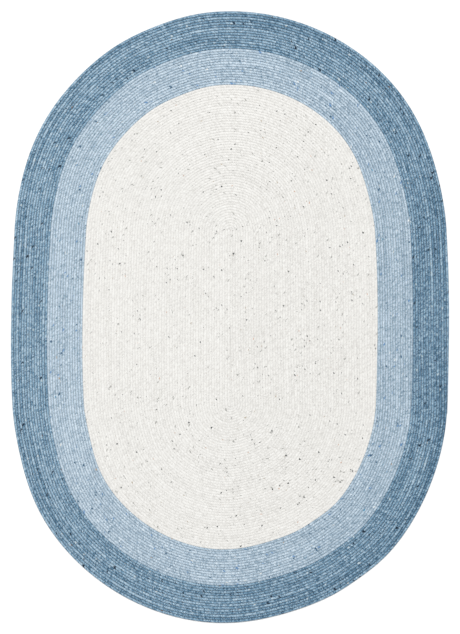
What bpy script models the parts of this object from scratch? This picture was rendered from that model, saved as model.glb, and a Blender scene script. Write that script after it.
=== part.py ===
"""Oval braided rug lying flat: a field of laced braid and two border bands sewn round it.

The rug is wound from flat braid in rows round a straight centre line, so its outline is a
straight-sided oval. The lacing pulls the rows in at a few places, and those hollows show at
every edge. Metres, +Z up, +Y along the rug, origin in the middle of the underside.
"""

import math

import bmesh
import bpy

# Driving sizes.
CENTRE_HALF = 0.3023  # half the length of the straight centre line that the rows go round
FIELD_REACH = 0.5141  # from the centre line to the field's edge, at the sides
LIGHT_WIDTH = 0.1230  # the inner border, at the sides
DARK_WIDTH = 0.1255  # the outer border, at the sides
LIGHT_SPREAD = 0.0030  # how much wider the inner border is at the two tips
DARK_SPREAD = 0.0045  # how much wider the outer border is at the two tips
THICKNESS = 0.0080  # one braid, from the floor to its crown
SEAM_GAP = 0.0003  # between the neighbouring pieces
STATIONS = 192  # stations round the rug
EDGE_STEPS = 6  # steps of the rounded outer edge

# Where the lacing pulls the rows in. way_round goes from 0 to 1 anticlockwise from the middle
# of the +X side, reach is how far the hollow spreads in the same measure, and depth is in metres.
HOLLOWS = (
    {"way_round": 0.080, "reach": 0.030, "depth": 0.0160},
    {"way_round": 0.295, "reach": 0.015, "depth": 0.0050},
    {"way_round": 0.350, "reach": 0.030, "depth": 0.0110},
    {"way_round": 0.425, "reach": 0.034, "depth": 0.0170},
    {"way_round": 0.577, "reach": 0.022, "depth": 0.0115},
    {"way_round": 0.790, "reach": 0.026, "depth": 0.0120},
    {"way_round": 0.831, "reach": 0.012, "depth": 0.0050},
    {"way_round": 0.905, "reach": 0.040, "depth": 0.0125},
)

# Each piece's colour, roughness and metallic value.
FINISHES = {
    "field": {"colour": (0.86, 0.85, 0.81), "roughness": 0.95, "metallic": 0.0},
    "light_band": {"colour": (0.43, 0.54, 0.66), "roughness": 0.95, "metallic": 0.0},
    "dark_band": {"colour": (0.12, 0.21, 0.31), "roughness": 0.95, "metallic": 0.0},
}

OUTER_REACH = FIELD_REACH + LIGHT_WIDTH + DARK_WIDTH


def clear_scene():
    """Removes every object that the new file came with."""
    for item in list(bpy.data.objects):
        bpy.data.objects.remove(item)


def station(way_round):
    """The centre line's point at this part of the way round, and the direction outwards."""
    arc = math.pi * OUTER_REACH
    run = way_round * (2 * arc + 4 * CENTRE_HALF)
    side = 2 * CENTRE_HALF
    if run < CENTRE_HALF:
        return (0.0, run), (1.0, 0.0)
    run -= CENTRE_HALF
    if run < arc:
        angle = run / OUTER_REACH
        return (0.0, CENTRE_HALF), (math.cos(angle), math.sin(angle))
    run -= arc
    if run < side:
        return (0.0, CENTRE_HALF - run), (-1.0, 0.0)
    run -= side
    if run < arc:
        angle = math.pi + run / OUTER_REACH
        return (0.0, -CENTRE_HALF), (math.cos(angle), math.sin(angle))
    return (0.0, run - arc - CENTRE_HALF), (1.0, 0.0)


def hollow(way_round):
    """How far the lacing pulls the rows in here."""
    total = 0.0
    for row in HOLLOWS:
        apart = (way_round - row["way_round"] + 0.5) % 1.0 - 0.5
        total += row["depth"] * math.exp(-0.5 * (apart / row["reach"]) ** 2)
    return total


def edge_reach(edge, way_round):
    """How far this edge lies from the centre line. The bands spread a little at the tips."""
    tip = math.sin(2 * math.pi * way_round) ** 2
    reach = OUTER_REACH - hollow(way_round)
    if edge != "outer":
        reach -= DARK_WIDTH + DARK_SPREAD * tip
    if edge == "field":
        reach -= LIGHT_WIDTH + LIGHT_SPREAD * tip
    return reach


def oval(edge, inset):
    """The points of one closed row, inset from the named edge."""
    points = []
    for step in range(STATIONS):
        way_round = step / STATIONS
        (x, y), (out_x, out_y) = station(way_round)
        reach = edge_reach(edge, way_round) - inset
        points.append((x + out_x * reach, y + out_y * reach))
    return points


def middle_of(points):
    """The middle of the box round these points."""
    xs = [x for x, _ in points]
    ys = [y for _, y in points]
    return (min(xs) + max(xs)) / 2, (min(ys) + max(ys)) / 2


def add_ring(mesh, edge, inset, height, middle):
    """Adds one closed row of vertices and returns it."""
    mid_x, mid_y = middle
    return [mesh.verts.new((x - mid_x, y - mid_y, height)) for x, y in oval(edge, inset)]


def join_rings(mesh, rings):
    """Adds the faces between each row and the next."""
    for low, high in zip(rings, rings[1:]):
        for step in range(STATIONS):
            after = (step + 1) % STATIONS
            mesh.faces.new((low[step], low[after], high[after], high[step]))


def rug_material(name):
    """The plain material of one piece."""
    finish = FINISHES[name]
    material = bpy.data.materials.new(name)
    material.use_nodes = True
    shader = material.node_tree.nodes["Principled BSDF"]
    shader.inputs["Base Color"].default_value = (*finish["colour"], 1.0)
    shader.inputs["Roughness"].default_value = finish["roughness"]
    shader.inputs["Metallic"].default_value = finish["metallic"]
    return material


def add_piece(name, mesh):
    """Turns a finished bmesh into the object of this name, with its faces pointing out."""
    bmesh.ops.recalc_face_normals(mesh, faces=mesh.faces)
    data = bpy.data.meshes.new(name)
    mesh.to_mesh(data)
    mesh.free()
    data.materials.append(rug_material(name))
    piece = bpy.data.objects.new(name, data)
    bpy.context.scene.collection.objects.link(piece)
    return piece


def build_field(middle):
    """The off-white field: one flat oval."""
    mesh = bmesh.new()
    low = add_ring(mesh, "field", SEAM_GAP / 2, 0.0, middle)
    high = add_ring(mesh, "field", SEAM_GAP / 2, THICKNESS, middle)
    join_rings(mesh, [low, high])
    mesh.faces.new(low)
    mesh.faces.new(high)
    return add_piece("field", mesh)


def build_light_band(middle):
    """The inner border: a flat ring between the field and the outer border."""
    mesh = bmesh.new()
    section = (
        ("field", -SEAM_GAP / 2, 0.0),
        ("light", SEAM_GAP / 2, 0.0),
        ("light", SEAM_GAP / 2, THICKNESS),
        ("field", -SEAM_GAP / 2, THICKNESS),
    )
    rings = [add_ring(mesh, edge, inset, height, middle) for edge, inset, height in section]
    join_rings(mesh, rings + rings[:1])
    return add_piece("light_band", mesh)


def build_dark_band(middle):
    """The outer border: a flat ring whose outer edge is rounded, as the last braid is."""
    mesh = bmesh.new()
    radius = THICKNESS / 2
    section = [("light", -SEAM_GAP / 2, 0.0)]
    for step in range(EDGE_STEPS + 1):
        angle = math.pi * step / EDGE_STEPS
        inset = radius * (1 - math.sin(angle))
        section.append(("outer", inset, radius * (1 - math.cos(angle))))
    section.append(("light", -SEAM_GAP / 2, THICKNESS))
    rings = [add_ring(mesh, edge, inset, height, middle) for edge, inset, height in section]
    join_rings(mesh, rings + rings[:1])
    band = add_piece("dark_band", mesh)
    band.data.shade_smooth()
    band.data.set_sharp_from_angle(angle=math.radians(40))
    return band


def main():
    """Builds the three pieces round one middle."""
    clear_scene()
    middle = middle_of(oval("outer", 0.0))
    build_field(middle)
    build_light_band(middle)
    build_dark_band(middle)


main()
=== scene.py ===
"""Oval braided rug: three coils of flat plaited braid, wound and laced row to row.

The braid is wound clockwise and outwards round a straight centre line. Each row steps out to the
next one along the same stretch at the lower right, so every coil begins and ends there, and tapers
to a thin end. Metres, +Z up, +Y along the rug.
"""

import logging
import math
from dataclasses import dataclass, field
from enum import Enum

import bpy
import numpy as np
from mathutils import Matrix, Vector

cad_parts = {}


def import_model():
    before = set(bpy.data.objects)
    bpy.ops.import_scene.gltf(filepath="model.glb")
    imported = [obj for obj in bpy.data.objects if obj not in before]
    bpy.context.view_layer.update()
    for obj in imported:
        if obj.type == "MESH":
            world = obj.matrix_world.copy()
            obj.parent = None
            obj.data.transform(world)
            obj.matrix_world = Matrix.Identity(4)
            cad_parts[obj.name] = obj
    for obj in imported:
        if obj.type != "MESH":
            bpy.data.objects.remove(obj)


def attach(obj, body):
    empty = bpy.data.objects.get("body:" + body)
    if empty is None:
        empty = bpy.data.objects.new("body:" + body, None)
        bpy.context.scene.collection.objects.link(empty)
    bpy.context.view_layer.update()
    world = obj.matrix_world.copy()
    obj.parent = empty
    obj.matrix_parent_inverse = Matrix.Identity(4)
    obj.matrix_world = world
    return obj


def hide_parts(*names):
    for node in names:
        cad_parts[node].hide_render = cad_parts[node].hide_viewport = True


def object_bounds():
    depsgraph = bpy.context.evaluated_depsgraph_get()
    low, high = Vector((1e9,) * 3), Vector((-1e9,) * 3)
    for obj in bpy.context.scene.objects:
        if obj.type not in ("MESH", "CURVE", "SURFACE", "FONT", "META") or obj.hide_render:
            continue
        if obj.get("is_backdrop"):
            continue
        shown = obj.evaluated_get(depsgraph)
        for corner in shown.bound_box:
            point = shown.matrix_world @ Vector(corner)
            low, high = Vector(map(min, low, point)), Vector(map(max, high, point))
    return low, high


LOG = logging.getLogger("rug")
BODY = "root"

Colour = tuple[float, float, float]
Floats = np.ndarray
Socket = bpy.types.NodeSocket


class Coil(Enum):
    """The rug's three coils of braid, by the name of the CAD node that each stands for."""

    FIELD = "field"
    LIGHT = "light_band"
    DARK = "dark_band"


class Slot(Enum):
    """The record's material slots."""

    OFF_WHITE = "off_white_braid"
    PALE_BLUE = "pale_blue_braid"
    DENIM_BLUE = "denim_blue_braid"


@dataclass(frozen=True)
class Hollow:
    """A place where the lacing pulls the rows in, by its share of the way round."""

    way_round: float
    reach: float
    depth: float


@dataclass
class Outline:
    """The rug's edges, measured out from a straight centre line, as the CAD solids have them."""

    centre_half: float = 0.3023
    field_reach: float = 0.5141
    light_width: float = 0.1230
    dark_width: float = 0.1255
    light_spread: float = 0.0030
    dark_spread: float = 0.0045
    hollows: tuple[Hollow, ...] = (
        Hollow(way_round=0.080, reach=0.030, depth=0.0160),
        Hollow(way_round=0.295, reach=0.015, depth=0.0050),
        Hollow(way_round=0.350, reach=0.030, depth=0.0110),
        Hollow(way_round=0.425, reach=0.034, depth=0.0170),
        Hollow(way_round=0.577, reach=0.022, depth=0.0115),
        Hollow(way_round=0.790, reach=0.026, depth=0.0120),
        Hollow(way_round=0.831, reach=0.012, depth=0.0050),
        Hollow(way_round=0.905, reach=0.040, depth=0.0125),
    )
    box_stations: int = 192
    shift: tuple[float, float] = (0.0, 0.0)

    @property
    def outer_reach(self) -> float:
        """From the centre line to the rug's edge, at the sides."""
        return self.field_reach + self.light_width + self.dark_width

    def centre_on(self, low: tuple[float, ...], high: tuple[float, ...]) -> None:
        """Shifts the outline so that its box has the middle of the box given.

        Args:
            low: The box's lowest corner.
            high: The box's highest corner.
        """
        way_round = np.arange(self.box_stations) / self.box_stations
        x, y = self.place(way_round, self.edge(Coil.DARK, way_round))
        self.shift = (
            (low[0] + high[0] - x.min() - x.max()) / 2,
            (low[1] + high[1] - y.min() - y.max()) / 2,
        )

    def heading(self, way_round: Floats) -> tuple[Floats, Floats]:
        """Where a part of the way round lies, as seen from the centre line.

        Args:
            way_round: Shares of the way round, anticlockwise from the middle of the +X side.

        Returns:
            The point's place along the centre line, and the angle of the direction outwards.
        """
        half = self.centre_half
        arc = math.pi * self.outer_reach
        run = way_round * (2 * arc + 4 * half)
        along = np.clip(run, 0, half)
        along = along - np.clip(run - half - arc, 0, 2 * half)
        along = along + np.clip(run - 3 * half - 2 * arc, 0, half)
        turned = np.clip(run - half, 0, arc) + np.clip(run - 3 * half - arc, 0, arc)
        return along, turned / self.outer_reach

    def place(self, way_round: Floats, reach: Floats) -> tuple[Floats, Floats]:
        """The points at these distances out from the centre line.

        Args:
            way_round: Shares of the way round.
            reach: Distances from the centre line.

        Returns:
            The points' x and y.
        """
        along, angle = self.heading(way_round)
        x = self.shift[0] + np.cos(angle) * reach
        y = self.shift[1] + along + np.sin(angle) * reach
        return x, y

    def edge(self, coil: Coil, way_round: Floats) -> Floats:
        """How far a coil's outer edge lies from the centre line.

        Args:
            coil: The coil whose outer edge is meant.
            way_round: Shares of the way round.

        Returns:
            The distances.
        """
        tip = np.sin(2 * math.pi * way_round) ** 2
        reach = np.full_like(way_round, self.outer_reach)
        for hollow in self.hollows:
            apart = (way_round - hollow.way_round + 0.5) % 1.0 - 0.5
            reach = reach - hollow.depth * np.exp(-0.5 * (apart / hollow.reach) ** 2)
        if coil is not Coil.DARK:
            reach = reach - self.dark_width - self.dark_spread * tip
        if coil is Coil.FIELD:
            reach = reach - self.light_width - self.light_spread * tip
        return reach


@dataclass
class Track:
    """A length of braid's middle line: turns, places along it, and the way it faces."""

    turn: Floats
    along: Floats
    angle: Floats

    def turn_at(self, along: Floats) -> Floats:
        """The turns at these places along the braid."""
        return np.interp(along, self.along, self.turn)

    def bend(self) -> Floats:
        """How hard the braid bends on each step, in radians a metre."""
        turned = (np.diff(self.angle) + math.pi) % (2 * math.pi) - math.pi
        return np.abs(turned) / np.diff(self.along)


@dataclass
class Winding:
    """How the rows of braid go round. A turn is counted in whole rows from the centre.

    start is where on the outline the first turn begins, and step_share the share of each turn in
    which a row steps out to the next. A coil starts start_lead of that stretch before its first turn
    and stops end_trim of it before its last turn is full. sway is how far a row wanders, in rows, in
    sway_waves waves of least_waves to most_waves a turn, and it comes in over the first steady_rows.
    """

    outline: Outline
    rows: dict[Coil, int] = field(
        default_factory=lambda: {Coil.FIELD: 56, Coil.LIGHT: 14, Coil.DARK: 14}
    )
    start: float = 0.93
    step_share: float = 0.07
    start_lead: float = 0.8
    end_trim: float = 0.2
    lacing_gap: float = 0.00005
    sway: float = 0.035
    sway_waves: int = 14
    least_waves: float = 2.0
    most_waves: float = 26.0
    steady_rows: float = 12.0
    steps_a_turn: int = 720
    seed: int = 11

    def __post_init__(self) -> None:
        """Draws the waves that the rows sway in."""
        draw = np.random.default_rng(self.seed)
        self.wave_counts = draw.uniform(self.least_waves, self.most_waves, self.sway_waves)
        self.wave_starts = draw.uniform(0.0, 2 * math.pi, self.sway_waves)

    def limits(self, coil: Coil) -> tuple[int, int]:
        """The first and last seam of a coil, counted in rows from the centre."""
        first = 0
        for other, count in self.rows.items():
            if other is coil:
                return first, first + count
            first += count
        raise ValueError(coil)

    def way_round(self, turn: Floats) -> Floats:
        """Where on the outline a turn has come to: the braid is wound clockwise."""
        return (self.start - turn) % 1.0

    def seam(self, turn: Floats, coil: Coil) -> Floats:
        """The seam on the inner side of the braid, counted in rows from the centre.

        It keeps to its row, and steps out to the next one in the last stretch of each turn.

        Args:
            turn: Turns from the start of the rug.
            coil: The coil that the braid belongs to, which the seam stays inside.

        Returns:
            The seam, from the coil's first to its last.
        """
        low, high = self.limits(coil)
        whole = np.floor(turn)
        into = np.clip((turn - whole - 1 + self.step_share) / self.step_share, 0, 1)
        seam = whole + into * into * (3 - 2 * into)
        wave = 0.0
        for count, begin in zip(self.wave_counts, self.wave_starts):
            wave = wave + np.sin(2 * math.pi * count * turn + begin)
        calm = np.clip(np.minimum(seam - low, high - seam), 0, 1)
        calm = calm * np.clip(seam / self.steady_rows, 0, 1)
        return np.clip(seam + wave * calm * self.sway / math.sqrt(self.sway_waves / 2), low, high)

    def reach(self, seam: Floats, way_round: Floats) -> Floats:
        """How far a seam lies from the centre line.

        Args:
            seam: Seams, counted in rows from the centre.
            way_round: Shares of the way round.

        Returns:
            The distances.
        """
        total = 0.0
        inner_edge = 0.0
        for coil in Coil:
            low, high = self.limits(coil)
            outer_edge = self.outline.edge(coil, way_round)
            total = total + (outer_edge - inner_edge) * np.clip((seam - low) / (high - low), 0, 1)
            inner_edge = outer_edge
        return total

    def sides(self, turn: Floats, coil: Coil) -> tuple[Floats, Floats]:
        """The distances of the braid's two sides from the centre line.

        Args:
            turn: Turns from the start of the rug.
            coil: The coil that the braid belongs to.

        Returns:
            The inner side's and the outer side's distances, half a lacing gap in from the seams.
        """
        way_round = self.way_round(turn)
        inner = self.reach(self.seam(turn, coil), way_round) + self.lacing_gap / 2
        outer = self.reach(self.seam(turn + 1, coil), way_round) - self.lacing_gap / 2
        return inner, outer

    def point(self, turn: Floats, across: Floats, coil: Coil) -> tuple[Floats, Floats]:
        """The points at these turns and shares of the way across the braid.

        Args:
            turn: Turns from the start of the rug.
            across: Shares of the braid's width, from its inner side.
            coil: The coil that the braid belongs to.

        Returns:
            The points' x and y.
        """
        inner, outer = self.sides(turn, coil)
        return self.outline.place(self.way_round(turn), inner + across * (outer - inner))

    def track(self, coil: Coil, first: float, last: float) -> Track:
        """Measures the middle line of a length of braid.

        Args:
            coil: The coil that the braid belongs to.
            first: The turn that it starts at.
            last: The turn that it ends at.

        Returns:
            The middle line.
        """
        turn = np.linspace(first, last, int((last - first) * self.steps_a_turn) + 2)
        x, y = self.point(turn, 0.5, coil)
        along = np.concatenate([[0.0], np.cumsum(np.hypot(np.diff(x), np.diff(y)))])
        _, angle = self.outline.heading(self.way_round(turn))
        return Track(turn, along, angle)

    def first_turn(self, coil: Coil) -> float:
        """Where a coil's tapered start begins."""
        return self.limits(coil)[0] - self.start_lead * self.step_share

    def last_turn(self, coil: Coil) -> float:
        """Where a coil's tapered end stops."""
        return self.limits(coil)[1] - self.end_trim * self.step_share


@dataclass(frozen=True)
class Line:
    """One line of the braid's section.

    across is its share of the way from the inner side, and between_shift what is added to that
    half a plait on, which only the underside has. lead is how far it runs ahead, in plaits. on_lobe
    and between are its heights where its own lobe is and half a plait on, as shares of the braid's
    thickness. play is how much of the sideways unevenness it takes, turned says that its lobes are
    the odd ones, trip is its place round the section, in widths, and crown goes from 0 at the lacing
    to 1 away from it. Where crown is below 1 the yarn's colour is darkened as painted shade in the
    lacing grooves.
    """

    across: float
    between_shift: float
    lead: float
    on_lobe: float
    between: float
    play: float
    turned: bool
    trip: float
    crown: float


@dataclass
class Plait:
    """The flat three-strand braid: two files of slanted lobes that meet in a middle line.

    Where it bends tighter than tight_radius the plaits crowd, up to tightest times. The three plays
    are its unevenness: in height in metres, sideways in widths, and lengthwise in plaits. It counts
    as full from full_share of its width on. full_trip is the way round its section, in widths, and
    crease the angle from which an edge is sharp.
    """

    length: float = 0.0092
    width: float = 0.0091
    thickness: float = 0.0079
    tight_radius: float = 0.030
    tightest: float = 2.0
    height_play: float = 0.00022
    side_play: float = 0.05
    lead_play: float = 0.05
    full_share: float = 0.8
    full_trip: float = 2.15
    crease: float = math.radians(60)
    lines: tuple[Line, ...] = (
        Line(
            across=0.00, between_shift=0.0, lead=0.00, on_lobe=0.56, between=0.46,
            play=0.0, turned=False, trip=0.00, crown=0.0,
        ),
        Line(
            across=0.18, between_shift=0.0, lead=0.22, on_lobe=0.98, between=0.72,
            play=1.0, turned=False, trip=0.22, crown=1.0,
        ),
        Line(
            across=0.37, between_shift=0.0, lead=0.50, on_lobe=0.86, between=0.78,
            play=1.0, turned=False, trip=0.42, crown=0.9,
        ),
        Line(
            across=0.70, between_shift=0.0, lead=0.25, on_lobe=1.00, between=0.72,
            play=1.0, turned=True, trip=0.75, crown=1.0,
        ),
        Line(
            across=1.00, between_shift=0.0, lead=0.00, on_lobe=0.56, between=0.46,
            play=0.0, turned=True, trip=1.05, crown=0.0,
        ),
        Line(
            across=0.64, between_shift=-0.28, lead=0.25, on_lobe=0.00, between=0.00,
            play=0.0, turned=True, trip=1.60, crown=1.0,
        ),
    )

    def stations(self, track: Track) -> Floats:
        """Steps along the braid, two to a plait, and closer where it bends hard.

        Args:
            track: The braid's middle line.

        Returns:
            The stations' places along the braid, in metres.
        """
        bend = np.clip(track.bend() * self.tight_radius, 1.0, self.tightest)
        plaits = np.concatenate([[0.0], np.cumsum(np.diff(track.along) * bend)]) / self.length
        even = np.linspace(0.0, plaits[-1], 2 * round(plaits[-1]) + 1)
        return np.interp(even, plaits, track.along)

    def fullness(self, width: Floats) -> Floats:
        """How full the braid is where it is this wide: from 0, drawn out thin, to 1."""
        return np.clip(width / self.width / self.full_share, 0, 1)


@dataclass(frozen=True)
class Fleck:
    """One kind of stray fibre knot spun into the yarn: its share of the knots and its colour."""

    share: float
    colour: Colour


@dataclass(frozen=True)
class Yarn:
    """A finish: heathered, slightly hairy spun yarn with knots of other colours in it.

    shades run from dark to pale, and the plays say how far the dye, each lobe, the fibres and the
    tufts stray along them. side_tone is a soft change of tone across the rug, palest at
    palest_side, which is a share of the way round, and row_tones is added to whole rows of a coil.
    painted_groove_shade is the share of its colour that the yarn keeps at the lacing: painted shade
    in the grooves between rows, where shadow falls. relief is the share of the plait's full depth
    that it has. fleck_share is the share of places that hold a knot, gathered in crowds of
    crowd_size by crowding. lean is the strands' slant. Every length, width and size is in metres.
    """

    name: str
    slot: Slot
    shades: tuple[Colour, Colour, Colour]
    dye_play: float
    lobe_play: float
    fibre_play: float
    fleck_share: float
    flecks: tuple[Fleck, ...]
    painted_groove_shade: float
    relief: float
    grain_play: float = 0.9
    grain_length: float = 0.0070
    grain_width: float = 0.0016
    lean: float = 0.45
    dye_length: float = 0.15
    side_tone: float = 0.0
    palest_side: float = 0.47
    row_tones: dict[int, float] = field(default_factory=dict)
    fleck_length: float = 0.0050
    fleck_width: float = 0.0030
    crowd_size: float = 0.045
    crowding: float = 6.0
    fibre_length: float = 0.0042
    fibre_width: float = 0.0009
    roughness: float = 0.92
    sheen: float = 0.25
    bump: float = 0.35


OFF_WHITE_YARN = Yarn(
    name="off_white_yarn",
    slot=Slot.OFF_WHITE,
    shades=((0.568, 0.558, 0.533), (0.720, 0.710, 0.682), (0.786, 0.781, 0.758)),
    dye_play=0.04,
    lobe_play=0.05,
    fibre_play=0.5,
    grain_play=0.90,
    side_tone=0.035,
    painted_groove_shade=0.92,
    relief=0.35,
    fleck_share=0.10,
    fleck_width=0.0036,
    flecks=(
        Fleck(share=0.34, colour=(0.040, 0.045, 0.045)),
        Fleck(share=0.56, colour=(0.33, 0.33, 0.31)),
        Fleck(share=0.07, colour=(0.38, 0.31, 0.22)),
        Fleck(share=0.03, colour=(0.52, 0.28, 0.17)),
    ),
)
PALE_BLUE_YARN = Yarn(
    name="pale_blue_yarn",
    slot=Slot.PALE_BLUE,
    shades=((0.188, 0.277, 0.356), (0.401, 0.509, 0.606), (0.622, 0.719, 0.798)),
    dye_play=0.055,
    lobe_play=0.05,
    fibre_play=0.8,
    grain_play=1.0,
    side_tone=0.063,
    painted_groove_shade=0.64,
    relief=0.80,
    fleck_share=0.12,
    fleck_width=0.0052,
    fleck_length=0.0070,
    flecks=(
        Fleck(share=0.30, colour=(0.05, 0.12, 0.20)),
        Fleck(share=0.33, colour=(0.13, 0.26, 0.46)),
        Fleck(share=0.22, colour=(0.80, 0.82, 0.80)),
        Fleck(share=0.09, colour=(0.05, 0.26, 0.42)),
        Fleck(share=0.06, colour=(0.42, 0.34, 0.26)),
    ),
)
DENIM_BLUE_YARN = Yarn(
    name="denim_blue_yarn",
    slot=Slot.DENIM_BLUE,
    shades=((0.041, 0.104, 0.174), (0.174, 0.315, 0.444), (0.450, 0.585, 0.690)),
    dye_play=0.075,
    lobe_play=0.05,
    fibre_play=0.8,
    grain_play=1.05,
    side_tone=0.089,
    row_tones={7: 0.12, 8: -0.12, 9: 0.04, 10: -0.16, 11: 0.04, 12: -0.18},
    painted_groove_shade=0.41,
    relief=1.0,
    fleck_share=0.14,
    fleck_width=0.0053,
    fleck_length=0.0072,
    flecks=(
        Fleck(share=0.26, colour=(0.48, 0.57, 0.62)),
        Fleck(share=0.60, colour=(0.010, 0.024, 0.046)),
        Fleck(share=0.07, colour=(0.66, 0.70, 0.68)),
        Fleck(share=0.07, colour=(0.20, 0.15, 0.13)),
    ),
)


class Wiring:
    """The node tree of one material, with short ways to add to it."""

    def __init__(self, name: str) -> None:
        """Starts a material that has only its shader.

        Args:
            name: The material's name.
        """
        self.material = bpy.data.materials.new(name)
        self.material.use_nodes = True
        self.tree = self.material.node_tree
        self.shader = self.tree.nodes["Principled BSDF"]

    def add(self, kind: str, **settings: object) -> bpy.types.Node:
        """Adds a node.

        Args:
            kind: The node's type.
            **settings: Its own settings, by their names.

        Returns:
            The node.
        """
        node = self.tree.nodes.new(kind)
        for name, value in settings.items():
            setattr(node, name, value)
        return node

    def feed(self, socket: Socket, value: Socket | float | Colour) -> None:
        """Gives a socket its value or its link.

        Args:
            socket: The socket.
            value: A plain value, or the socket to link from.
        """
        if isinstance(value, bpy.types.NodeSocket):
            self.tree.links.new(value, socket)
        else:
            socket.default_value = value

    def sum(self, operation: str, *values: Socket | float, clamp: bool = False) -> Socket:
        """One arithmetic step.

        Args:
            operation: The step, by Blender's name for it.
            *values: What it works on.
            clamp: Whether the result is kept from 0 to 1.

        Returns:
            The result's socket.
        """
        node = self.add("ShaderNodeMath", operation=operation, use_clamp=clamp)
        for socket, value in zip(node.inputs, values):
            self.feed(socket, value)
        return node.outputs[0]

    def ramp(
        self, value: Socket, stops: list[tuple[float, Colour]], stepped: bool = False
    ) -> Socket:
        """Turns a number into a colour.

        Args:
            value: The number's socket.
            stops: The places of the colours and the colours, in order.
            stepped: Whether each colour holds up to the next one.

        Returns:
            The colour's socket.
        """
        node = self.add("ShaderNodeValToRGB")
        node.color_ramp.interpolation = "CONSTANT" if stepped else "LINEAR"
        elements = node.color_ramp.elements
        while len(elements) < len(stops):
            elements.new(1.0)
        for element, (position, colour) in zip(elements, stops):
            element.position = position
            element.color = (*colour, 1.0)
        self.feed(node.inputs["Fac"], value)
        return node.outputs["Color"]

    def mix(
        self, share: Socket | float, first: Socket, second: Socket, blend: str = "MIX"
    ) -> Socket:
        """Mixes two colours.

        Args:
            share: The second colour's share.
            first: The colour that is there.
            second: The colour that comes over it.
            blend: The way they are mixed.

        Returns:
            The mixed colour's socket.
        """
        node = self.add("ShaderNodeMix", data_type="RGBA", blend_type=blend)
        self.feed(node.inputs["Factor"], share)
        self.feed(node.inputs["A"], first)
        self.feed(node.inputs["B"], second)
        return node.outputs["Result"]


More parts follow.
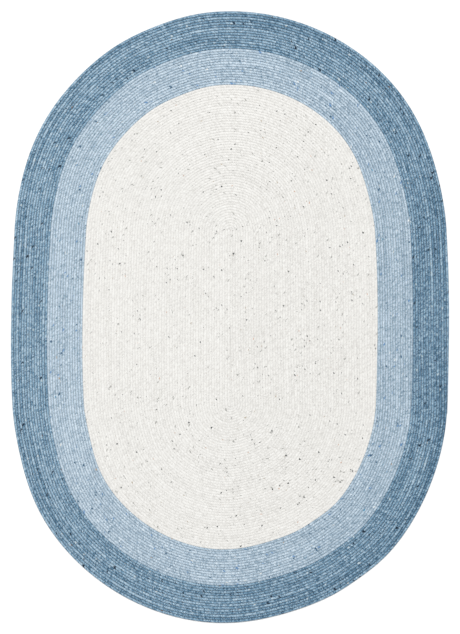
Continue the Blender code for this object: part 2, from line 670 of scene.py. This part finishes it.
@dataclass
class YarnDresser:
    """Makes the material of a yarn from the braid's own lengthwise and crosswise measure.

    hair_share is a hair's thickness as a share of a fibre's. fibre_detail and fibre_roughness shape
    the fibres' noise, and crowd_detail that of the knots' crowding. A knot's cell is cell_sizes times
    the yarn's fleck sizes. The knot reaches least_size of it, and up to size_range more, by a draw
    raised to size_power so that most stay small. soft_rim is how far its edge fades out.
    """

    yarn: Yarn
    hair_share: float = 0.4
    fibre_detail: float = 2.0
    fibre_roughness: float = 0.6
    crowd_detail: float = 1.0
    cell_sizes: float = 2.0
    size_power: float = 3.0
    size_range: float = 0.36
    least_size: float = 0.14
    soft_rim: float = 0.12
    bump_height: float = 0.0004
    specular: float = 0.2
    sheen_roughness: float = 0.5

    def material(self) -> bpy.types.Material:
        """Builds the whole material.

        Returns:
            The material.
        """
        yarn = self.yarn
        wiring = Wiring(yarn.name)
        along, across = self.measure(wiring)
        fibres = self.texture(wiring, along, across, yarn.fibre_width, yarn.fibre_length)
        hair_width = yarn.fibre_width * self.hair_share
        hairs = self.texture(wiring, along, across, hair_width, yarn.fibre_length)
        tone = wiring.add("ShaderNodeAttribute", attribute_name="tone").outputs["Fac"]
        spread = wiring.sum("MULTIPLY_ADD", wiring.sum("SUBTRACT", fibres, 0.5), yarn.fibre_play, 0.5)
        grains = self.grains(wiring, along, across)
        spread = wiring.sum("MULTIPLY_ADD", wiring.sum("SUBTRACT", grains, 0.5), yarn.grain_play, spread)
        shade = wiring.sum("ADD", spread, tone, clamp=True)
        colour = wiring.ramp(shade, list(zip((0.0, 0.5, 1.0), yarn.shades)))
        colour = self.flecked(wiring, colour, along, across)
        # Painted shade: the colour is darkened towards the lacing grooves between rows, where shadow
        # falls.
        crown = wiring.add("ShaderNodeAttribute", attribute_name="crown").outputs["Fac"]
        depth = wiring.ramp(crown, [(0.0, (yarn.painted_groove_shade,) * 3), (1.0, (1.0, 1.0, 1.0))])
        colour = wiring.mix(1.0, colour, depth, "MULTIPLY")
        self.surface(wiring, colour, wiring.sum("ADD", fibres, hairs))
        return wiring.material

    def measure(self, wiring: Wiring) -> tuple[Socket, Socket]:
        """Reads the braid's own measure.

        Args:
            wiring: The material's nodes.

        Returns:
            The place along the braid and the place round its section, in metres.
        """
        place = wiring.add("ShaderNodeUVMap", uv_map="braid")
        split = wiring.add("ShaderNodeSeparateXYZ")
        wiring.feed(split.inputs[0], place.outputs[0])
        return split.outputs[0], split.outputs[1]

    def scaled(
        self, wiring: Wiring, along: Socket, across: Socket, thick: float, long: float
    ) -> Socket:
        """The place, measured in grains of this thickness along the braid and length across it.

        Args:
            wiring: The material's nodes.
            along: The place along the braid.
            across: The place round its section.
            thick: The grain's size along the braid.
            long: The grain's size across the braid, which is along its strands.

        Returns:
            The place's socket.
        """
        joined = wiring.add("ShaderNodeCombineXYZ")
        leaning = wiring.sum("MULTIPLY_ADD", across, self.yarn.lean, along)
        wiring.feed(joined.inputs[0], wiring.sum("DIVIDE", leaning, thick))
        wiring.feed(joined.inputs[1], wiring.sum("DIVIDE", across, long))
        return joined.outputs[0]

    def texture(
        self, wiring: Wiring, along: Socket, across: Socket, thick: float, long: float
    ) -> Socket:
        """Fibres that run along the strands, from 0 to 1.

        Args:
            wiring: The material's nodes.
            along: The place along the braid.
            across: The place round its section.
            thick: A fibre's thickness.
            long: A fibre's length.

        Returns:
            The fibres' socket.
        """
        noise = wiring.add("ShaderNodeTexNoise", noise_dimensions="2D")
        noise.inputs["Scale"].default_value = 1.0
        noise.inputs["Detail"].default_value = self.fibre_detail
        noise.inputs["Roughness"].default_value = self.fibre_roughness
        wiring.feed(noise.inputs["Vector"], self.scaled(wiring, along, across, thick, long))
        return noise.outputs[0]

    def grains(self, wiring: Wiring, along: Socket, across: Socket) -> Socket:
        """Tufts of differently dyed fibre, from 0 to 1.

        Args:
            wiring: The material's nodes.
            along: The place along the braid.
            across: The place round its section.

        Returns:
            The tufts' socket.
        """
        tufts = wiring.add("ShaderNodeTexVoronoi", voronoi_dimensions="2D")
        tufts.inputs["Scale"].default_value = 1.0
        place = self.scaled(wiring, along, across, self.yarn.grain_width, self.yarn.grain_length)
        wiring.feed(tufts.inputs["Vector"], place)
        dice = wiring.add("ShaderNodeSeparateColor")
        wiring.feed(dice.inputs[0], tufts.outputs["Color"])
        return dice.outputs[0]

    def flecked(self, wiring: Wiring, colour: Socket, along: Socket, across: Socket) -> Socket:
        """Lays the yarn's knots of other colours over its own.

        Args:
            wiring: The material's nodes.
            colour: The yarn's own colour.
            along: The place along the braid.
            across: The place round its section.

        Returns:
            The flecked colour's socket.
        """
        yarn = self.yarn
        cells = wiring.add("ShaderNodeTexVoronoi", voronoi_dimensions="2D")
        cells.inputs["Scale"].default_value = 1.0
        cell_width = yarn.fleck_width * self.cell_sizes
        place = self.scaled(wiring, along, across, cell_width, yarn.fleck_length * self.cell_sizes)
        wiring.feed(cells.inputs["Vector"], place)
        dice = wiring.add("ShaderNodeSeparateColor")
        wiring.feed(dice.inputs[0], cells.outputs["Color"])
        share = wiring.sum("MULTIPLY", self.crowd(wiring), yarn.fleck_share)
        drawn = wiring.sum("LESS_THAN", dice.outputs[0], share)
        mostly_small = wiring.sum("POWER", dice.outputs[2], self.size_power)
        size = wiring.sum("MULTIPLY_ADD", mostly_small, self.size_range, self.least_size)
        rim = wiring.sum("SUBTRACT", size, cells.outputs["Distance"])
        inside = wiring.sum("DIVIDE", rim, self.soft_rim, clamp=True)
        stops = []
        reached = 0.0
        for fleck in yarn.flecks:
            stops.append((reached, fleck.colour))
            reached += fleck.share
        knot = wiring.ramp(dice.outputs[1], stops, stepped=True)
        return wiring.mix(wiring.sum("MULTIPLY", drawn, inside), colour, knot)

    def crowd(self, wiring: Wiring) -> Socket:
        """How crowded the knots are at each place on the rug, about 1 on the whole.

        Args:
            wiring: The material's nodes.

        Returns:
            The crowding's socket.
        """
        noise = wiring.add("ShaderNodeTexNoise")
        noise.inputs["Scale"].default_value = 1.0 / self.yarn.crowd_size
        noise.inputs["Detail"].default_value = self.crowd_detail
        wiring.feed(noise.inputs["Vector"], wiring.add("ShaderNodeTexCoord").outputs["Object"])
        uneven = wiring.sum("SUBTRACT", noise.outputs[0], 0.5)
        crowd = wiring.sum("MULTIPLY_ADD", uneven, self.yarn.crowding, 1.0)
        return wiring.sum("MAXIMUM", crowd, 0.0)

    def surface(self, wiring: Wiring, colour: Socket, relief: Socket) -> None:
        """Sets the shader: matt, with a soft sheen of loose fibres.

        Args:
            wiring: The material's nodes.
            colour: The finished colour.
            relief: The fibres' height.
        """
        shader = wiring.shader
        bump = wiring.add("ShaderNodeBump")
        bump.inputs["Strength"].default_value = self.yarn.bump
        bump.inputs["Distance"].default_value = self.bump_height
        wiring.feed(bump.inputs["Height"], relief)
        wiring.feed(shader.inputs["Base Color"], colour)
        wiring.feed(shader.inputs["Normal"], bump.outputs[0])
        shader.inputs["Roughness"].default_value = self.yarn.roughness
        shader.inputs["Specular IOR Level"].default_value = self.specular
        shader.inputs["Sheen Weight"].default_value = self.yarn.sheen
        shader.inputs["Sheen Roughness"].default_value = self.sheen_roughness


@dataclass
class Length:
    """One length of braid, from one turn to another, as a closed tube with its own lobes.

    Its skin is also laid out flat in strips: strip_gap is the share of a strip left empty between
    two of them, and spare_cells the stations' worth of room kept for the two cut ends. end_places
    and end_width are shares of that room, and end_height a share of the strip's height.
    """

    name: str
    coil: Coil
    first: float
    last: float
    yarn: Yarn
    seed: int
    spare_cells: int = 10
    strip_gap: float = 0.08
    end_places: tuple[float, float] = (0.25, 0.75)
    end_width: float = 0.2
    end_height: float = 0.3

    def build(self, winding: Winding, plait: Plait) -> bpy.types.Object:
        """Models the braid.

        Args:
            winding: How the rows go round.
            plait: The braid's section.

        Returns:
            The piece.
        """
        track = winding.track(self.coil, self.first, self.last)
        along = plait.stations(track)
        draw = np.random.default_rng(self.seed)
        points = self.vertices(winding, plait, track, along, draw)
        faces = self.faces(len(along), len(plait.lines))
        data = bpy.data.meshes.new(self.name)
        data.from_pydata(points.reshape(-1, 3).tolist(), [], faces)
        data.shade_smooth()
        data.set_sharp_from_angle(angle=plait.crease)
        self.mark_lobes(data, winding, plait, track, along, draw)
        self.mark_measure(data, plait, along)
        self.mark_strips(data, plait, along)
        piece = bpy.data.objects.new(self.name, data)
        bpy.context.scene.collection.objects.link(piece)
        return piece

    def vertices(
        self, winding: Winding, plait: Plait, track: Track, along: Floats, draw: np.random.Generator
    ) -> Floats:
        """Places the section's lines at every station.

        Args:
            winding: How the rows go round.
            plait: The braid's section.
            track: The braid's middle line.
            along: The stations' places along the braid.
            draw: Where the small unevenness comes from.

        Returns:
            The points, by station and line.
        """
        count = len(along)
        odd = np.arange(count) % 2 == 1
        points = np.zeros((count, len(plait.lines), 3))
        for place, line in enumerate(plait.lines):
            own = odd == line.turned
            play = plait.lead_play * draw.uniform(-1, 1, count)
            turn = track.turn_at(along + (line.lead + play) * plait.length)
            inner, outer = winding.sides(turn, self.coil)
            width = outer - inner
            across = line.across + np.where(own, 0.0, line.between_shift)
            across = across + line.play * plait.side_play * draw.uniform(-1, 1, count)
            height = np.where(own, line.on_lobe, line.between) * plait.thickness
            if line.on_lobe > 0:
                drop = (plait.thickness - height) * self.yarn.relief * plait.fullness(width)
                height = plait.thickness - drop + plait.height_play * draw.uniform(-1, 1, count)
            x, y = winding.outline.place(winding.way_round(turn), inner + across * width)
            points[:, place] = np.stack([x, y, height], axis=1)
        return points

    def faces(self, stations: int, lines: int) -> list[tuple[int, ...]]:
        """The quads between the stations, and the two cut ends.

        Args:
            stations: How many stations there are.
            lines: How many points each has.

        Returns:
            The faces, with their fronts outwards.
        """
        station, line = np.meshgrid(np.arange(stations - 1), np.arange(lines), indexing="ij")
        here = station * lines
        there = here + lines
        after = (line + 1) % lines
        quads = np.stack([here + line, there + line, there + after, here + after], axis=2)
        ends = [tuple(range(lines)), tuple(range((stations - 1) * lines, stations * lines))[::-1]]
        return quads.reshape(-1, 4).tolist() + ends

    def mark_lobes(
        self,
        data: bpy.types.Mesh,
        winding: Winding,
        plait: Plait,
        track: Track,
        along: Floats,
        draw: np.random.Generator,
    ) -> None:
        """Gives each point the tone of its lobe, and its crown, which sets its painted shade at the
        lacing.

        Args:
            data: The braid's mesh.
            winding: How the rows go round.
            plait: The braid's section.
            track: The braid's middle line.
            along: The stations' places along the braid.
            draw: Where the strands' tones come from.
        """
        yarn = self.yarn
        count = len(along)
        marks = np.arange(0.0, along[-1] + 2 * yarn.dye_length, yarn.dye_length)
        lobe = np.interp(along, marks, draw.normal(0, 1, len(marks))) * yarn.dye_play
        lobe = lobe + draw.normal(0, 1, count) * yarn.lobe_play
        turn = track.turn_at(along)
        # Paler towards one side of the rug and darker across from it.
        lobe = lobe + yarn.side_tone * np.cos(2 * math.pi * (winding.way_round(turn) - yarn.palest_side))
        row = np.floor(turn - winding.limits(self.coil)[0])
        for number, tone_of_row in yarn.row_tones.items():
            lobe = lobe + tone_of_row * (row == number)
        beside = np.pad(lobe, 1, mode="edge")
        between = (beside[:-2] + beside[2:]) / 2
        odd = np.arange(count) % 2 == 1
        tone = np.zeros((count, len(plait.lines)))
        for place, line in enumerate(plait.lines):
            tone[:, place] = np.where(odd == line.turned, lobe, between)
        inner, outer = winding.sides(turn, self.coil)
        # crown sets the painted shade in the lacing grooves; it fades out where the braid is drawn thin.
        grooves = 1 - np.array([line.crown for line in plait.lines])
        crown = 1 - grooves * plait.fullness(outer - inner)[:, None]
        for name, values in (("tone", tone), ("crown", crown)):
            attribute = data.attributes.new(name, "FLOAT", "POINT")
            attribute.data.foreach_set("value", values.astype(np.float32).ravel())

    def mark_measure(self, data: bpy.types.Mesh, plait: Plait, along: Floats) -> None:
        """Adds the map that measures the braid lengthwise and round its section, in metres.

        Args:
            data: The braid's mesh.
            plait: The braid's section.
            along: The stations' places along the braid.
        """
        trips = np.array([line.trip for line in plait.lines] + [plait.full_trip]) * plait.width
        lines = len(plait.lines)
        quads = (len(along) - 1) * lines
        low = np.tile(trips[:-1], len(along) - 1)
        high = np.tile(trips[1:], len(along) - 1)
        here = np.repeat(along[:-1], lines)
        there = np.repeat(along[1:], lines)
        measure = np.zeros((len(data.loops), 2), np.float32)
        measure[: quads * 4] = np.stack(
            [here, low, there, low, there, high, here, high], axis=1
        ).reshape(-1, 2)
        measure[quads * 4 :, 1] = np.tile(trips[:-1], 2)
        measure[quads * 4 + lines :, 0] = along[-1]
        layer = data.uv_layers.new(name="braid")
        layer.data.foreach_set("uv", measure.ravel())

    def mark_strips(self, data: bpy.types.Mesh, plait: Plait, along: Floats) -> None:
        """Adds the map that lays the braid's skin out flat, cut into strips one above the other.

        Args:
            data: The braid's mesh.
            plait: The braid's section.
            along: The stations' places along the braid.
        """
        lines = len(plait.lines)
        steps = len(along) - 1
        strips = max(1, round(math.sqrt(along[-1] / (plait.full_trip * plait.width))))
        cells = math.ceil((steps + self.spare_cells) / strips)
        trips = np.array([line.trip for line in plait.lines] + [plait.full_trip])
        round_section = self.strip_gap / 2 + trips / plait.full_trip * (1 - self.strip_gap)
        strip, cell = np.divmod(np.arange(steps), cells)
        low = (strip[:, None] + round_section[:-1]).ravel() / strips
        high = (strip[:, None] + round_section[1:]).ravel() / strips
        here = np.repeat(cell, lines) / cells
        there = np.repeat(cell + 1, lines) / cells
        flat = np.zeros((len(data.loops), 2), np.float32)
        flat[: steps * lines * 4] = np.stack(
            [here, low, there, low, there, high, here, high], axis=1
        ).reshape(-1, 2)
        angle = 2 * math.pi * np.arange(lines) / lines
        ends = flat[steps * lines * 4 :].reshape(2, lines, 2)
        for corners, spare in zip(ends, self.end_places):
            corners[:, 0] = 1 - self.spare_cells * (spare + self.end_width * np.cos(angle)) / cells
            corners[:, 1] = 1 - (0.5 + self.end_height * np.sin(angle)) / strips
        layer = data.uv_layers.new(name="OFBake", do_init=False)
        layer.data.foreach_set("uv", flat.ravel())


@dataclass
class Rug:
    """The rug's lengths of braid, in the order in which they are wound.

    cuts are the turns at which a coil is cut into lengths. The first length draws its unevenness
    from first_seed, and each one after it from the next number.
    """

    winding: Winding
    plait: Plait = field(default_factory=Plait)
    cuts: dict[Coil, tuple[float, ...]] = field(
        default_factory=lambda: {Coil.FIELD: (28.37, 44.61), Coil.LIGHT: (), Coil.DARK: (77.42,)}
    )
    yarns: dict[Coil, Yarn] = field(
        default_factory=lambda: {
            Coil.FIELD: OFF_WHITE_YARN,
            Coil.LIGHT: PALE_BLUE_YARN,
            Coil.DARK: DENIM_BLUE_YARN,
        }
    )
    first_seed: int = 100

    def lengths(self) -> list[Length]:
        """Cuts each coil into the lengths of braid that it is wound from.

        Returns:
            The lengths.
        """
        made = []
        for coil in Coil:
            ends = (self.winding.first_turn(coil), *self.cuts[coil], self.winding.last_turn(coil))
            for number, (first, last) in enumerate(zip(ends, ends[1:]), start=1):
                name = f"{coil.value}_braid_{number}"
                seed = self.first_seed + len(made)
                made.append(Length(name, coil, first, last, self.yarns[coil], seed))
        return made

    def flat_size(self, length: Length) -> tuple[float, float, float]:
        """The flat size of a length's share of the rug.

        Args:
            length: The length of braid.

        Returns:
            Its width and length, and the area that its rows cover.
        """
        winding = self.winding
        half = winding.outline.centre_half
        inner = float(winding.reach(np.array(max(length.first, 0.0)), np.array(0.0)))
        outer = float(winding.reach(np.array(length.last), np.array(0.0)))
        if inner == 0.0:
            area = math.pi * outer**2 + 4 * half * outer
            return 2 * outer, 2 * (outer + half), area
        around = math.pi * (inner + outer) + 4 * half
        return outer - inner, around, (outer - inner) * around

    def build(self) -> None:
        """Builds and dresses every length, hangs it on the body and hides the CAD part it stands for."""
        materials = {coil: YarnDresser(yarn).material() for coil, yarn in self.yarns.items()}
        for length in self.lengths():
            piece = length.build(self.winding, self.plait)
            piece.data.materials.append(materials[length.coil])
            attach(piece, BODY)
            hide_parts(length.coil.value)
            width, long, area = self.flat_size(length)
            count = len(piece.data.polygons)
            LOG.info("%s: %d faces, covers %.3f square metres", piece.name, count, area)


@dataclass
class Studio:
    """A pale floor under even, soft light, with the camera straight above."""

    floor_side: float = 60.0
    floor_colour: Colour = (0.94, 0.94, 0.94)
    floor_drop: float = 0.0002
    floor_roughness: float = 0.9
    floor_specular: float = 0.1
    world_colour: Colour = (1.0, 1.0, 1.0)
    world_strength: float = 0.80
    light_side: float = 13.0
    light_place: tuple[float, float, float] = (-2.4, 15.4, 26.0)
    light_power: float = 5300.0
    camera_height: float = 6.0
    view_length: float = 2.203
    view_plane: float = 0.0075
    sensor: float = 36.0

    def build(self) -> None:
        """Builds the floor, the lights and the camera."""
        self.floor()
        self.world()
        self.light()
        self.camera()
        bpy.context.scene.view_settings.view_transform = "Standard"
        LOG.info("studio ready")

    def floor(self) -> None:
        """Lays the floor a hair under the braid."""
        half = self.floor_side / 2
        data = bpy.data.meshes.new("floor")
        corners = [(-half, -half, 0), (half, -half, 0), (half, half, 0), (-half, half, 0)]
        data.from_pydata(corners, [], [(0, 1, 2, 3)])
        wiring = Wiring("floor_paint")
        wiring.shader.inputs["Base Color"].default_value = (*self.floor_colour, 1.0)
        wiring.shader.inputs["Roughness"].default_value = self.floor_roughness
        wiring.shader.inputs["Specular IOR Level"].default_value = self.floor_specular
        data.materials.append(wiring.material)
        floor = bpy.data.objects.new("floor", data)
        floor.location.z = -self.floor_drop
        bpy.context.scene.collection.objects.link(floor)
        floor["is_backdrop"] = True

    def world(self) -> None:
        """Surrounds everything with even pale light."""
        world = bpy.data.worlds.new("studio")
        world.use_nodes = True
        background = world.node_tree.nodes["Background"]
        background.inputs["Color"].default_value = (*self.world_colour, 1.0)
        background.inputs["Strength"].default_value = self.world_strength
        bpy.context.scene.world = world

    def light(self) -> None:
        """Hangs one large soft light beyond the rug's far tip."""
        data = bpy.data.lights.new("softbox", "AREA")
        data.shape = "SQUARE"
        data.size = self.light_side
        data.energy = self.light_power
        light = bpy.data.objects.new("softbox", data)
        light.location = self.light_place
        light.rotation_mode = "QUATERNION"
        light.rotation_quaternion = light.location.to_track_quat("Z", "Y")
        bpy.context.scene.collection.objects.link(light)

    def camera(self) -> None:
        """Sets the camera straight above, with the rug's length along the picture's."""
        data = bpy.data.cameras.new("camera")
        data.sensor_width = self.sensor
        data.lens = self.sensor * (self.camera_height - self.view_plane) / self.view_length
        camera = bpy.data.objects.new("camera", data)
        camera.location = (0.0, 0.0, self.camera_height)
        bpy.context.scene.collection.objects.link(camera)
        bpy.context.scene.camera = camera


def main() -> None:
    """Builds the rug in its studio, round the loaded frame."""
    logging.basicConfig(level=logging.INFO, format="%(name)s: %(message)s")
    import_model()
    cad_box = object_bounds()
    Studio().build()
    outline = Outline()
    outline.centre_on(*cad_box)
    Rug(Winding(outline)).build()


if __name__ == "__main__":
    main()
